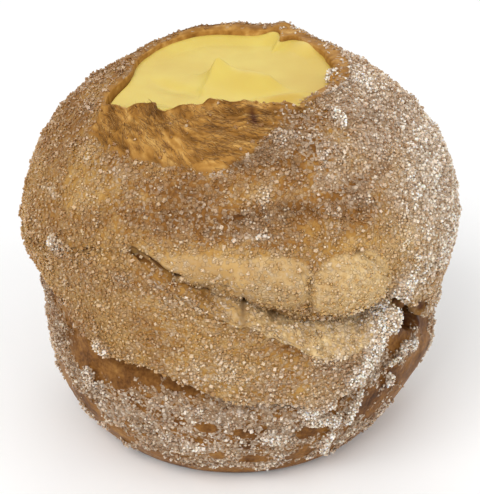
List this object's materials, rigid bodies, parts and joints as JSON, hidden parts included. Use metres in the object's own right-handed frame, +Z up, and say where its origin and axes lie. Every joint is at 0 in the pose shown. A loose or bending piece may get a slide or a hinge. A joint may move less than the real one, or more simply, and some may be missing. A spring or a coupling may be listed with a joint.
{
  "type": "cruffin",
  "caption": "Tall rolled croissant-dough muffin with a flat base, overlapping baked coils and a torn top opening filled level with custard.",
  "frame": {"origin": "centre of the footprint at the flat underside", "axes": "+Z up through the opening, -Y towards the side with the torn lip, +X to its right"},
  "size_m": [0.0877, 0.0888, 0.0749],
  "materials": {
    "crust": "baked crust rolled in sugar, dry and grainy",
    "custard": "smooth satin custard"
  },
  "bodies": {
    "root": {"pastry": "crust", "custard": "custard"}
  },
  "joints": []
}
